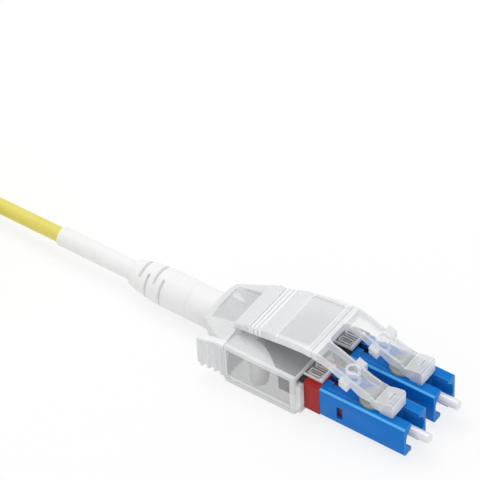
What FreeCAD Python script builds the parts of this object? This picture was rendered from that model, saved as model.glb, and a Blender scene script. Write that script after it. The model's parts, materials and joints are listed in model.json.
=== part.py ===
import FreeCAD, Part
import math
import os

from FreeCAD import Placement, Rotation, Vector

# Duplex fibre connector on a patch cord: two blue plug bodies with sprung ferrules, a clear housing
# with a press-down trigger and two latch arms, a white boot and a yellow cord.
# Millimetres. +X points out of the ferrules, +Z up, -Y is the side with the finger tab.
# The origin is on the housing's resting face, under the middle of the housing's length.

# ---- plug pair ----
PITCH = 6.25            # between the two ferrule axes
AXIS_HEIGHT = 2.95      # ferrule axes above the resting face
PLUG_SIDE = 4.5         # square section of a plug body
PLUG_LENGTH = 11.9
PLUG_EDGE = 0.2         # bevelled long edges
CHAMBER_R = 1.6         # bore for barrel, spring and flange
CHAMBER_DEPTH = 7.9
WEB_LENGTH = 1.0        # wall that the flange seats on
WEB_HOLE_R = 1.18       # lets an adapter's sleeve reach the flange
NOSE_BORE_R = 1.9       # round mouth round the ferrule
NOSE_SLOT = 1.65        # mouth's slot, open at top and bottom
DISH_R = 3.2            # dished top under the latch arm
DISH_DEPTH = 0.42
DISH_START = 0.9
DISH_END = 5.0
NOTCH_WIDTH = 0.8       # notch in the rear end of the top
NOTCH_LENGTH = 1.5
NOTCH_DEPTH = 0.8
WINDOW_START = 2.37     # side window for the barrel's catch
WINDOW_LENGTH = 0.86
WINDOW_HEIGHT = 1.85
WINDOW_DROP = 0.35      # its middle below the ferrule axis
POCKET_DEPTH = 0.38     # round pocket for the latch pad

# ---- ferrule, flange, spring, barrel ----
FERRULE_R = 0.625
FERRULE_REACH = 2.15    # tip beyond the plug body
FERRULE_GRIP = 1.0      # rear end held in the flange head
FERRULE_GRIP_R = 0.4
FERRULE_TIP = 0.22      # ground edge of the tip
FERRULE_TRAVEL = 0.8
FLANGE_R = 1.35
FLANGE_LENGTH = 1.75
TAIL_R = 0.8
TAIL_LENGTH = 1.6
FIBRE_R = 0.45
FIBRE_FLATS = 6         # sides of the fibre's section
SPRING_FIT = 0.1        # spring round the flange's tail
SPRING_WIRE = 0.24      # side of the spring's square wire
SPRING_TURNS = 2
BARREL_LENGTH = 3.4     # reach into the plug body
CATCH_REACH = 0.35      # barrel's catch beyond the chamber's wall
RING_SIDE = 4.66        # coloured square ring between plug and housing
RING_LENGTH = 2.1
RING_EDGE = 0.3
STEM_R = 1.4            # round stem clamped in the housing
STEM_LENGTH = 2.9
STEM_BORE_R = 0.72
SEAM = 0.05             # gap at a seated joint face

# ---- clear housing ----
HOUSING_LENGTH = 10.05
HOUSING_HEIGHT = 6.0
TAB_SIDE = 6.5          # from the mid-plane to the side with the finger tab
PLAIN_SIDE = 5.45       # to the plain side
WALL = 0.55
HOUSING_EDGE = 0.45
LIP_LENGTH = 0.6        # stepped front lip
LIP_STEP = 0.35
LIP_DROP = 0.43         # lip's top below the rings' tops
HOOD_LENGTH = 5.15      # rear hood round the boot
HOOD_REAR_HALF = 3.4
HOOD_REAR_TOP = 5.75
HOOD_REAR_BEVEL = 0.6
HOOD_FLOOR = 0.3        # hood's underside above the resting face
HOOD_ROOF_HALF = 3.8
HOOD_ROOF_RISE = 0.55   # roof above the deck
HOOD_UNDERCUT = 2.6     # rear end leans forward to its bottom edge
ROOF_SHELF = 0.55       # roof reaches over the deck, under the trigger
PANEL_DEPTH = 0.16      # sunk panel on the roof
PANEL_RIM = 0.8
PANEL_FRONT = 0.5
TAB_LENGTH = 3.7        # ribbed finger tab
TAB_WALL = 0.8
TAB_FLARE = 0.7
TAB_BOW = 0.15
TAB_ROOT = 0.2          # reach onto the housing's side
TAB_LOW_FRONT = 1.0
TAB_LOW_REAR = 1.9
TAB_RIBS = 4
TAB_RIB_FIRST = 0.6     # first rib from the tab's rear edge, in rib pitches
TAB_RIB_ROOM = 0.4      # plain length left beyond the last rib, in rib pitches
TAB_RIB_R = 0.26
TONGUE_HALF = 1.45      # guide tongue over each ring
TONGUE_REACH = 2.7
TONGUE_WALL = 0.3
TONGUE_RIB = 0.32
TONGUE_RIB_HALF = 0.42
TONGUE_RIB_WALL = 0.22
TONGUE_EDGE = 0.5
TONGUE_BAR = 0.35
POST_R = 1.15
POST_AT = 3.55          # from the housing's rear section
POST_FIT = 0.3
STRIP_RISE = 0.35       # black strip over the lip
SADDLE_AT = 3.0
SADDLE_LENGTH = 0.5
SADDLE_HALF = 1.0
SADDLE_DROP = 0.3
HOLDER_TIP = 3.1
HOLDER_TIP_HALF = 2.6
HOLDER_WIDE = 7.3
HOLDER_PLATE = 0.8
HOLDER_FIT = 0.15
HOLDER_SIDE_LENGTH = 2.2
HOLDER_SIDE_DROP = 0.55
ANCHOR_HALF = 2.4
ANCHOR_GAP = 0.4
ANCHOR_LENGTH = 4.2
FIBRE_START = 1.2       # fibre ends here, in front of the cord's end
MOUTH_LENGTH = 2.0

# ---- latch ----
ARM_HALF = 1.35
EAR_START = 2.75
EAR_LENGTH = 1.1
EAR_HALF = 2.2
RING_BOSS_R = 0.9
RING_BOSS_HOLE_R = 0.55
RING_BOSS_AT = 3.3
RING_BOSS_RISE = 0.35
RING_BOSS_SINK = 0.3    # its foot below the arm's top line
RING_HOLE_FLOOR = 0.1
RING_SLOT_HALF = 0.4    # opening of the ring, towards the ferrules
RING_SLOT_FLOOR = 0.05
EAR_TOP_DROP = 0.12
EAR_LOW_RISE = 0.1
FOOT_HALF = 1.5
PAD_R = 1.72
PAD_AT = 6.2
PAD_RISE = 0.25
FOOT_START = 6.5
FOOT_END = 9.7
FOOT_SEAM = 0.04
FOOT_TOP = 2.0          # front block's top above the plug
FOOT_BEVEL = 0.25
FOOT_LEDGE = 1.4        # flat top, from the front face
FOOT_LEDGE_DROP = 0.2
FOOT_STEP = 0.85        # step up from the arm's end
FOOT_STEP_TOP = 1.5
FOOT_WAIST = 1.1        # widens from arm to foot over this length
FOOT_CORNER_R = 0.2
FOOT_SLIT = 0.25        # narrow slit across the top
FOOT_SLIT_AT = 0.85     # from the front face
FOOT_SLIT_HALF = 0.68
FOOT_SLIT_DEPTH = 0.4
KEY_DEPTH = 0.4         # key in the mouth's top slot
KEY_SETBACK = 0.2
CREASE = -1.6           # cross crease between trigger and arms, from the plug's rear face
CREASE_SEAM = 0.08
SLOT_END = -1.0         # slot between the arms starts here
SLOT_CORNER_R = 0.7
TRIGGER_REAR_HALF = 3.8
TRIGGER_LAP = 0.1       # trigger above the roof shelf
TRIGGER_SHOULDER_EXTRA = 0.1
PRESS_PAD_RISE = 0.22   # smooth pad at the rear
PANEL_START = -6.8      # trigger's sunk panel, from the plug's rear face
PANEL_END = -2.3
PANEL_SIDE = 0.75       # edge left beside it
GRIP_RIBS = 3
GRIP_START = 0.35
GRIP_PITCH = 0.62
GRIP_R = 0.2

# ---- boot and cord ----
BOOT_R = 2.45
BOOT_NECK_R = 1.65
BOOT_LENGTH = 13.0      # seen behind the hood
BOOT_TAPER = 5.8        # tapered rear end
BOOT_INSIDE = 0.4       # front end behind the housing's rear section
FLEX_CUTS = 4           # slots, from above and below by turns
FLEX_START = 1.75
FLEX_PITCH = 1.12
FLEX_WIDTH = 0.28
FLEX_LAP = 0.2          # slots reach this far past the middle
FLEX_WALL = 0.15        # left under a slot
SLEEVE_R = 1.3
SLEEVE_INSIDE = 1.2     # reach into the boot
SLEEVE_LENGTH = 11.4    # seen behind the boot
CRIMP_R = 1.9
CRIMP_WALL = 0.35
CRIMP_LENGTH = 3.7
CORD_R = 1.0
CORD_FIT = 0.03
CORD_STRAIGHT = 10.0    # straight cord behind the sleeve
COIL_TURN_R = 12.0      # middle of the coil's turns
COIL_COLUMNS = 3
COIL_LAYERS = 4
COIL_X = -60.0
COIL_Y = -12.5

# ---- cutting bodies ----
PAST = 1.0              # run this far past what they cut

# ---- worked out ----
PLUG_BACK = HOUSING_LENGTH / 2 + LIP_LENGTH + SEAM + RING_LENGTH + SEAM
PLUG_TOP = AXIS_HEIGHT + PLUG_SIDE / 2
HOUSING_REAR = -HOUSING_LENGTH / 2
HOUSING_FRONT = HOUSING_LENGTH / 2
HOOD_REAR = HOUSING_REAR - HOOD_LENGTH
ROOF = HOUSING_HEIGHT + HOOD_ROOF_RISE
BOOT_REAR = HOOD_REAR - BOOT_LENGTH
SLEEVE_REAR = BOOT_REAR - SLEEVE_LENGTH
SLEEVE_FRONT = BOOT_REAR + SLEEVE_INSIDE
CRIMP_START = HOUSING_REAR - CRIMP_LENGTH
LIP_TOP = AXIS_HEIGHT + RING_SIDE / 2 - LIP_DROP
STRIP_TOP = LIP_TOP + STRIP_RISE
STEM_REAR = PLUG_BACK - SEAM - RING_LENGTH - STEM_LENGTH
SKY = 3 * ROOF            # above every piece
SIDES = {"left": PITCH / 2, "right": -PITCH / 2}


def box(x0, x1, y0, y1, z0, z1):
    return Part.makeBox(x1 - x0, y1 - y0, z1 - z0, Vector(x0, y0, z0))


def rod(x0, x1, r, y=0.0, z=AXIS_HEIGHT):
    return Part.makeCylinder(r, x1 - x0, Vector(x0, y, z), Vector(1, 0, 0))


def post(x, y, r, z0, z1):
    return Part.makeCylinder(r, z1 - z0, Vector(x, y, z0))


def outline(points):
    corners = [Vector(*p) for p in points]
    return Part.makePolygon(corners + corners[:1])


def side_profile(points, half, y=0.0):
    """Extrude an outline drawn in X and Z to a width of twice half about y."""
    face = Part.Face(outline([(x, y - half, z) for x, z in points]))
    return face.extrude(Vector(0, 2 * half, 0))


def plan_profile(points, z0, z1):
    """Extrude an outline drawn in X and Y between two heights."""
    face = Part.Face(outline([(x, y, z0) for x, y in points]))
    return face.extrude(Vector(0, 0, z1 - z0))


def edges_along(shape, direction, where=None):
    """Straight edges parallel to a direction, if their middle passes the test."""
    found = []
    for edge in shape.Edges:
        if edge.Curve.TypeId != "Part::GeomLine":
            continue
        along = (edge.valueAt(edge.LastParameter) - edge.valueAt(edge.FirstParameter)).normalize()
        if abs(along.dot(direction)) > 0.999 and (where is None or where(edge.CenterOfMass)):
            found.append(edge)
    return found


def soften(shape, radius, direction, where=None):
    return shape.makeFillet(radius, edges_along(shape, direction, where))


def height_at(points, x):
    """Height of a side outline's line at x."""
    for (x0, z0), (x1, z1) in zip(points, points[1:]):
        if x0 <= x <= x1:
            return z0 + (z1 - z0) * (x - x0) / (x1 - x0)
    return points[-1][1]


def from_plug(points):
    """Points given from the plug's rear face and top, in the part's frame."""
    return [(PLUG_BACK + x, PLUG_TOP + z) for x, z in points]


def over_roof(points):
    """Points given from the plug's rear face and the hood's roof, in the part's frame."""
    return [(PLUG_BACK + x, ROOF + z) for x, z in points]


# Side lines of the latch arm, from the plug's rear face and top.
ARM_TOP = from_plug([
    (CREASE, 4.53), (-0.5, 4.45), (0.6, 4.1), (2.0, 3.5), (3.85, 2.75), (5.2, 2.2), (FOOT_START, 1.85),
])
ARM_UNDER = from_plug([(CREASE, 3.45), (0.6, 3.0), (2.0, 2.4), (3.85, 1.6), (5.0, 0.9), (FOOT_START, 0.75)])
# Side lines of the trigger, over the hood's roof, down to the arm's lines at the crease.
TRIGGER_TOP = over_roof([(-13.2, 0.63), (-10.9, 1.4), (-8.0, 2.4), (-4.7, 2.95), (-2.9, 3.17)])
TRIGGER_TOP.append(ARM_TOP[0])
TRIGGER_UNDER = over_roof([(-13.2, TRIGGER_LAP), (-11.6, 0.36), (-9.1, 0.85), (-5.8, 1.6), (-3.0, 2.05)])
TRIGGER_UNDER.append(ARM_UNDER[0])


def plug_body(y):
    """Square moulded body with a chamber, a seat web, a round slotted mouth, and a dished top."""
    half = PLUG_SIDE / 2
    low, high = AXIS_HEIGHT - half, PLUG_TOP
    back, front = PLUG_BACK, PLUG_BACK + PLUG_LENGTH
    body = box(back, front, y - half, y + half, low, high)
    body = body.makeChamfer(PLUG_EDGE, edges_along(body, Vector(1, 0, 0)))
    seat = back + CHAMBER_DEPTH
    mouth = seat + WEB_LENGTH
    body = body.cut(rod(back - PAST, seat, CHAMBER_R, y))
    body = body.cut(rod(seat - PAST, mouth + PAST, WEB_HOLE_R, y))
    body = body.cut(rod(mouth, front + PAST, NOSE_BORE_R, y))
    slot = NOSE_SLOT / 2
    body = body.cut(box(mouth, front + PAST, y - slot, y + slot, low - PAST, high + PAST))
    dish = rod(back + DISH_START, back + DISH_END, DISH_R, y, high + DISH_R - DISH_DEPTH)
    body = body.cut(dish)
    notch = NOTCH_WIDTH / 2
    body = body.cut(box(back - PAST, back + NOTCH_LENGTH, y - notch, y + notch, high - NOTCH_DEPTH, high + PAST))
    body = body.cut(post(back + PAD_AT, y, PAD_R + SEAM, high - POCKET_DEPTH, high + PAST))
    middle = AXIS_HEIGHT - WINDOW_DROP
    window = box(back + WINDOW_START, back + WINDOW_START + WINDOW_LENGTH, y - half - PAST, y + half + PAST,
                 middle - WINDOW_HEIGHT / 2, middle + WINDOW_HEIGHT / 2)
    return body.cut(window)


def barrel(y):
    """Coloured rear piece: square ring outside, sprung barrel in the plug, round stem in the housing."""
    half = RING_SIDE / 2
    front = PLUG_BACK - SEAM
    ring = box(front - RING_LENGTH, front, y - half, y + half, AXIS_HEIGHT - half, AXIS_HEIGHT + half)
    ring = soften(ring, RING_EDGE, Vector(1, 0, 0))
    tube = rod(front, PLUG_BACK + BARREL_LENGTH, CHAMBER_R - SEAM, y)
    stem = rod(STEM_REAR, front, STEM_R, y)
    start = PLUG_BACK + WINDOW_START + SEAM
    reach = CHAMBER_R + CATCH_REACH
    middle = AXIS_HEIGHT - WINDOW_DROP
    tall = WINDOW_HEIGHT / 2 - SEAM
    catch = box(start, start + WINDOW_LENGTH - 2 * SEAM, y - reach, y + reach, middle - tall, middle + tall)
    shape = ring.fuse(tube).fuse(stem).fuse(catch)
    return shape.cut(rod(STEM_REAR - PAST, PLUG_BACK + BARREL_LENGTH + PAST, STEM_BORE_R, y)).removeSplitter()


FLANGE_FRONT = PLUG_BACK + CHAMBER_DEPTH - SEAM
FLANGE_BACK = FLANGE_FRONT - FLANGE_LENGTH
TAIL_BACK = FLANGE_BACK - TAIL_LENGTH


def flange(y):
    """Turned collar that grips the ferrule; its tail guides the spring."""
    shape = rod(FLANGE_BACK, FLANGE_FRONT, FLANGE_R, y).fuse(rod(TAIL_BACK, FLANGE_BACK, TAIL_R, y))
    return shape.cut(rod(FLANGE_FRONT - FERRULE_GRIP, FLANGE_FRONT + PAST, FERRULE_GRIP_R, y))


def ferrule(y):
    """Ground ceramic cylinder with a bevelled tip and a thinner end in the flange."""
    tip = PLUG_BACK + PLUG_LENGTH + FERRULE_REACH
    shape = rod(FLANGE_FRONT + SEAM, tip, FERRULE_R, y)
    rim = [e for e in shape.Edges if abs(e.CenterOfMass.x - tip) < SEAM and e.Length > FERRULE_R * math.pi]
    grip = rod(FLANGE_FRONT - FERRULE_GRIP, FLANGE_FRONT + SEAM, FERRULE_GRIP_R, y)
    return shape.makeChamfer(FERRULE_TIP, rim).fuse(grip)


def spring(y):
    """Compression spring of square wire between the barrel's front end and the flange head."""
    side = SPRING_WIRE / 2
    start = PLUG_BACK + BARREL_LENGTH + side + SEAM
    length = FLANGE_BACK - side - SEAM - start
    mean_r = TAIL_R + SPRING_FIT + side
    helix = Part.makeHelix(length / SPRING_TURNS, length, mean_r)
    section = [(mean_r + a * side, 0, b * side) for a, b in ((-1, -1), (1, -1), (1, 1), (-1, 1))]
    coil = Part.Wire(helix.Edges).makePipeShell([outline(section)], True, True)
    coil.Placement = Placement(Vector(start, y, AXIS_HEIGHT), Rotation(Vector(0, 1, 0), 90))
    return coil


def bent_rod(points, radii, section):
    """Solid of a section wire along straight runs joined by tangent arcs of the given radii."""
    points = [Vector(*p) for p in points]
    edges = []
    start = points[0]
    for before, here, after, radius in zip(points, points[1:], points[2:], radii):
        come = (here - before).normalize()
        go = (after - here).normalize()
        reach = radius * math.tan(come.getAngle(go) / 2)
        begin = here - come * reach
        end = here + go * reach
        toward = (go - come).normalize()
        bulge = radius / math.cos(come.getAngle(go) / 2) - radius
        edges.append(Part.LineSegment(start, begin).toShape())
        edges.append(Part.Arc(begin, here + toward * bulge, end).toShape())
        start = end
    edges.append(Part.LineSegment(start, points[-1]).toShape())
    path = Part.Wire(edges)
    return path.makePipeShell([section], True, False), path.Length


ANCHOR_FRONT = HOUSING_REAR + ANCHOR_LENGTH
FIBRE_ENTRY = HOUSING_REAR + FIBRE_START
CORD_STOP = FIBRE_ENTRY - FERRULE_TRAVEL - 2 * SEAM
FIBRE_GAP = 0.55        # fibres beside each other in the anchor
FIBRE_LEAD = 0.9        # straight fibre behind the stem
FIBRE_BEND_R = 2.2
FIBRE_MEET = 0.7        # fibres lie side by side from here, inside the anchor's front


def fibre(y):
    """Buffered fibre from the flange's tail through the barrel, bent in towards the anchor block."""
    side = math.copysign(FIBRE_GAP, y)
    route = [
        (TAIL_BACK, y, AXIS_HEIGHT),
        (STEM_REAR - FIBRE_LEAD, y, AXIS_HEIGHT),
        (ANCHOR_FRONT - FIBRE_MEET, side, AXIS_HEIGHT),
        (FIBRE_ENTRY, side, AXIS_HEIGHT),
    ]
    corners = []
    for i in range(FIBRE_FLATS):
        angle = 2 * math.pi * (i + 0.5) / FIBRE_FLATS
        corners.append((TAIL_BACK, y + FIBRE_R * math.cos(angle), AXIS_HEIGHT + FIBRE_R * math.sin(angle)))
    shape, _ = bent_rod(route, [FIBRE_BEND_R, FIBRE_BEND_R], outline(corners))
    return shape


def latch_pad(y):
    """Round pad set in the plug's top, under the latch foot."""
    return post(PLUG_BACK + PAD_AT, y, PAD_R, PLUG_TOP - POCKET_DEPTH, PLUG_TOP + PAD_RISE)


def latch_foot(y):
    """Front block of a latch arm: sits on pad and plug, with a key in the mouth's top slot."""
    back = PLUG_BACK + FOOT_START + FOOT_SEAM
    step = PLUG_BACK + PAD_AT + PAD_R + SEAM
    front = PLUG_BACK + FOOT_END
    high = PLUG_TOP + FOOT_TOP
    profile = [
        (back, PLUG_TOP + PAD_RISE), (step, PLUG_TOP + PAD_RISE), (step, PLUG_TOP), (front, PLUG_TOP),
        (front, high - FOOT_BEVEL), (front - FOOT_BEVEL, high), (front - FOOT_LEDGE, high - FOOT_LEDGE_DROP),
        (back + FOOT_STEP, PLUG_TOP + FOOT_STEP_TOP), (back, height_at(ARM_TOP, back)),
    ]
    foot = side_profile(profile, FOOT_HALF, y)
    side = y + FOOT_HALF + SEAM
    waist = plan_profile([(back - PAST, y + ARM_HALF), (back, y + ARM_HALF), (back + FOOT_WAIST, side),
                          (back - PAST, side)], PLUG_TOP - PAST, high + PAST)
    foot = foot.cut(waist).cut(waist.mirror(Vector(0, y, 0), Vector(0, 1, 0)))
    slit = front - FOOT_SLIT_AT
    half = FOOT_SLIT_HALF
    foot = foot.cut(box(slit - FOOT_SLIT, slit, y - half, y + half, high - FOOT_SLIT_DEPTH, high + PAST))
    mouth = PLUG_BACK + CHAMBER_DEPTH + WEB_LENGTH + SEAM
    wide = NOSE_SLOT / 2 - SEAM
    foot = foot.fuse(box(mouth, front - KEY_SETBACK, y - wide, y + wide, PLUG_TOP - KEY_DEPTH, PLUG_TOP))
    return soften(foot, FOOT_CORNER_R, Vector(0, 0, 1), lambda c: c.x > front - SEAM and abs(c.y - y) > wide + SEAM)


def latch_arms():
    """Both arms in one moulding: a bridge behind the slot, sloping arms, ears, and a ring boss on each."""
    profile = ARM_TOP + ARM_UNDER[::-1]
    shapes = []
    for y in SIDES.values():
        arm = side_profile(profile, ARM_HALF, y)
        ear_x = [PLUG_BACK + EAR_START, PLUG_BACK + EAR_START + EAR_LENGTH]
        ear_top = [(x, height_at(ARM_TOP, x) - EAR_TOP_DROP) for x in ear_x]
        ear_low = [(x, height_at(ARM_UNDER, x) + EAR_LOW_RISE) for x in ear_x]
        ear = side_profile(ear_top + ear_low[::-1], EAR_HALF, y)
        middle = PLUG_BACK + RING_BOSS_AT
        level = height_at(ARM_TOP, middle)
        hole = post(middle, y, RING_BOSS_HOLE_R, level - RING_HOLE_FLOOR, level + PAST)
        boss = post(middle, y, RING_BOSS_R, level - RING_BOSS_SINK, level + RING_BOSS_RISE).cut(hole)
        boss = boss.cut(box(middle, middle + RING_BOSS_R + PAST, y - RING_SLOT_HALF, y + RING_SLOT_HALF,
                            level - RING_SLOT_FLOOR, level + PAST))
        shapes.append(arm.fuse(ear).cut(hole).fuse(boss))
    inner = PITCH / 2 - ARM_HALF
    rear, slot = PLUG_BACK + CREASE, PLUG_BACK + SLOT_END
    bridge_top = [p for p in ARM_TOP if p[0] < slot] + [(slot, height_at(ARM_TOP, slot))]
    bridge_low = [p for p in ARM_UNDER if p[0] < slot] + [(slot, height_at(ARM_UNDER, slot))]
    bridge = side_profile(bridge_top + bridge_low[::-1], inner + SEAM)
    shape = shapes[0].fuse(shapes[1]).fuse(bridge)
    corner = SLOT_CORNER_R
    for side in (-1, 1):
        edges = sorted((side * inner, side * (inner - corner)))
        round_in = box(slot - SEAM, slot + corner, edges[0], edges[1], 0, SKY)
        round_in = round_in.cut(post(slot + corner, side * (inner - corner), corner, 0, SKY))
        shape = shape.fuse(round_in.common(side_profile(profile, PITCH)))
    shape = shape.cut(box(rear - PAST, rear + CREASE_SEAM / 2, -PITCH, PITCH, 0, SKY))
    return shape.removeSplitter()


def trigger_plate():
    """Bowed press plate: smooth pad with grip ribs at the rear, sunk panel, cross crease at the front."""
    front_half = PITCH / 2 + ARM_HALF
    sheet = side_profile(TRIGGER_TOP + TRIGGER_UNDER[::-1], front_half)
    rear, front = TRIGGER_TOP[0][0], PLUG_BACK + CREASE
    shoulder = TRIGGER_TOP[1][0]
    shoulder_half = TRIGGER_REAR_HALF + TRIGGER_SHOULDER_EXTRA
    half_plan = [(rear, TRIGGER_REAR_HALF), (shoulder, shoulder_half), (front, front_half)]
    plan = plan_profile([(x, -w) for x, w in half_plan] + [(x, w) for x, w in half_plan[::-1]], 0, SKY)
    sheet = sheet.common(plan)
    pad_line = TRIGGER_TOP[:2]
    raised = [(x, z + PRESS_PAD_RISE) for x, z in pad_line[::-1]]
    sheet = sheet.fuse(side_profile(pad_line + raised, TRIGGER_REAR_HALF))
    for i in range(GRIP_RIBS):
        x = shoulder + GRIP_START + i * GRIP_PITCH
        half = TRIGGER_REAR_HALF + SEAM
        rib = Part.makeCylinder(GRIP_R, 2 * half, Vector(x, -half, height_at(TRIGGER_TOP, x)), Vector(0, 1, 0))
        sheet = sheet.fuse(rib)
    panel_x = [PLUG_BACK + PANEL_START, TRIGGER_TOP[3][0], TRIGGER_TOP[4][0], PLUG_BACK + PANEL_END]
    floor = [(x, height_at(TRIGGER_TOP, x) - PANEL_DEPTH) for x in panel_x]
    above = [(x, z + PAST) for x, z in floor[::-1]]
    sheet = sheet.cut(side_profile(floor + above, front_half - PANEL_SIDE))
    sheet = sheet.cut(box(front - CREASE_SEAM / 2, front + PAST, -PITCH, PITCH, 0, SKY))
    return sheet.removeSplitter()


def chop(shape, a, b, c):
    """Cut away what is above the plane through three points."""
    normal = (b - a).cross(c - a).normalize()
    if normal.z < 0:
        normal = normal * -1
    block = Part.makeBox(4 * SKY, 4 * SKY, 2 * SKY, Vector(-2 * SKY, -2 * SKY, 0))
    block.Placement = Placement(a, Rotation(Vector(0, 0, 1), normal))
    return shape.cut(block)


def hood(inset=0.0, stretch=0.0):
    """Faired shell from the housing's rear section back to the boot; inset gives its hollow."""
    front, rear = HOUSING_REAR + stretch, HOOD_REAR - stretch
    low, half = HOOD_FLOOR + inset, HOOD_REAR_HALF - inset
    top, roof = HOOD_REAR_TOP - inset, ROOF - inset
    plan = [(front, -TAB_SIDE + inset), (front, PLAIN_SIDE - inset), (rear, half), (rear, -half)]
    shape = plan_profile(plan, low, roof)
    shape = shape.common(side_profile([(rear, low), (front, low), (front, roof), (rear, top)], TAB_SIDE))
    for edge, sign in ((PLAIN_SIDE, 1), (TAB_SIDE, -1)):
        eaves = Vector(front, sign * (edge - inset), HOUSING_HEIGHT - inset)
        ridge = Vector(front, sign * (HOOD_ROOF_HALF - inset), roof)
        shape = chop(shape, eaves, ridge, Vector(rear, sign * half, top - HOOD_REAR_BEVEL))
    return shape


def finger_tab():
    """Ribbed tab beside the hood, flared outwards and scalloped along its lower edge."""
    front = HOUSING_REAR + TAB_ROOT
    rear = front - TAB_LENGTH
    middle = (front + rear) / 2
    out = -TAB_SIDE
    plan = [
        (front, out), (middle, out - TAB_BOW), (rear, out - TAB_FLARE),
        (rear, out - TAB_FLARE + TAB_WALL), (middle, out + TAB_WALL - TAB_BOW), (front, out + TAB_WALL),
    ]
    tab = plan_profile(plan, TAB_LOW_FRONT, HOUSING_HEIGHT)
    below = [(front, 0), (front, TAB_LOW_FRONT), (rear, TAB_LOW_REAR), (rear, 0)]
    tab = tab.cut(side_profile(below, 2 * TAB_SIDE))
    pitch = TAB_LENGTH / (TAB_RIBS + TAB_RIB_ROOM)
    for i in range(TAB_RIBS):
        x = rear + pitch * (i + TAB_RIB_FIRST)
        share = (x - rear) / TAB_LENGTH
        y = out - TAB_FLARE * (1 - share) ** 2 - TAB_RIB_R / 4
        low = TAB_LOW_REAR + (TAB_LOW_FRONT - TAB_LOW_REAR) * share
        bar = [(x - TAB_RIB_R, y + TAB_RIB_R), (x - TAB_RIB_R / 2, y - TAB_RIB_R / 2),
               (x + TAB_RIB_R / 2, y - TAB_RIB_R / 2), (x + TAB_RIB_R, y + TAB_RIB_R)]
        tab = tab.fuse(plan_profile(bar, low - TAB_RIB_R, HOUSING_HEIGHT - 2 * TAB_RIB_R))
    return tab


def tongue(y):
    """Guide tongue over a ring: flat strip with two hollow ribs and a thick front bar."""
    low = AXIS_HEIGHT + RING_SIDE / 2 + SEAM
    start = HOUSING_FRONT - WALL
    end = HOUSING_FRONT + TONGUE_REACH
    strip = box(start, end, y - TONGUE_HALF, y + TONGUE_HALF, low, low + TONGUE_WALL)
    rib_start, rib_end = HOUSING_FRONT + TONGUE_EDGE, end - TONGUE_BAR
    rib_top = low + TONGUE_WALL + TONGUE_RIB / 2
    bar_top = low + TONGUE_WALL + TONGUE_RIB
    for side in (-1, 1):
        middle = y + side * TONGUE_HALF / 2
        outer = TONGUE_RIB_HALF
        inner = TONGUE_RIB_HALF - TONGUE_RIB_WALL
        strip = strip.fuse(box(rib_start, rib_end, middle - outer, middle + outer, low, rib_top))
        strip = strip.cut(box(rib_start + TONGUE_RIB_WALL, rib_end - TONGUE_RIB_WALL, middle - inner, middle + inner,
                              low + TONGUE_WALL / 2, low + 2 * TONGUE_WALL))
    return strip.fuse(box(end - TONGUE_BAR, end, y - TONGUE_HALF, y + TONGUE_HALF, low, bar_top))


def housing_shell():
    """Outside of the clear moulding: box with a stepped front lip, rear hood, and a shelf under the trigger."""
    shell = box(HOUSING_REAR, HOUSING_FRONT, -TAB_SIDE, PLAIN_SIDE, 0, HOUSING_HEIGHT)
    shell = soften(shell, HOUSING_EDGE, Vector(0, 0, 1), lambda c: c.x > 0)
    lip = box(HOUSING_FRONT - WALL, HOUSING_FRONT + LIP_LENGTH, -TAB_SIDE + LIP_STEP, PLAIN_SIDE - LIP_STEP,
              LIP_STEP, LIP_TOP)
    back, edge, low = HOUSING_REAR - WALL, HOUSING_REAR + ROOF_SHELF, HOUSING_HEIGHT - WALL / 2
    shelf = side_profile([(back, low), (edge, low), (edge, ROOF), (back, ROOF)], HOOD_ROOF_HALF)
    return shell.fuse(lip).fuse(shelf).fuse(hood())


def clear_housing():
    """One clear moulding, thin-walled and open at the rear, with finger tab and guide tongues."""
    outer = housing_shell()
    room = box(HOUSING_REAR, HOUSING_FRONT - WALL, -TAB_SIDE + WALL, PLAIN_SIDE - WALL, WALL, HOUSING_HEIGHT - WALL)
    outer = outer.cut(room).cut(hood(WALL, SEAM))
    slot = STEM_R + SEAM
    for y in SIDES.values():
        lip_front = HOUSING_FRONT + LIP_LENGTH
        outer = outer.cut(rod(HOUSING_FRONT - 2 * WALL, lip_front + PAST, slot, y))
        opening = box(HOUSING_FRONT - 2 * WALL, lip_front + PAST, y - slot, y + slot, AXIS_HEIGHT, STRIP_TOP + SEAM)
        outer = outer.cut(opening)
        saddle = box(SADDLE_AT, SADDLE_AT + SADDLE_LENGTH, y - SADDLE_HALF, y + SADDLE_HALF,
                     WALL / 2, AXIS_HEIGHT - SADDLE_DROP)
        outer = outer.fuse(saddle.cut(rod(SADDLE_AT - PAST, SADDLE_AT + SADDLE_LENGTH + PAST, slot, y)))
    outer = outer.cut(rod(HOOD_REAR - PAST, HOUSING_REAR, BOOT_R + SEAM))
    lean = [(HOOD_REAR - PAST, HOOD_REAR_TOP - HOOD_REAR_BEVEL), (HOOD_REAR, HOOD_REAR_TOP - HOOD_REAR_BEVEL),
            (HOOD_REAR + HOOD_UNDERCUT, 0), (HOOD_REAR - PAST, 0)]
    outer = outer.cut(side_profile(lean, TAB_SIDE))
    slope = (ROOF - HOOD_REAR_TOP) / HOOD_LENGTH
    floor = []
    for x in (HOOD_REAR + PANEL_RIM, HOUSING_REAR - PANEL_FRONT):
        floor.append((x, HOOD_REAR_TOP + slope * (x - HOOD_REAR) - PANEL_DEPTH))
    above = [(x, z + PAST) for x, z in floor[::-1]]
    outer = outer.cut(side_profile(floor + above, HOOD_REAR_HALF - PANEL_RIM)).fuse(finger_tab())
    for y in SIDES.values():
        outer = outer.fuse(tongue(y))
    return outer.removeSplitter()


HOLDER_TOP = HOUSING_HEIGHT - WALL - SEAM
POST_Y = (-TAB_SIDE + WALL + POST_FIT + POST_R, PLAIN_SIDE - WALL - POST_FIT - POST_R)


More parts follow.
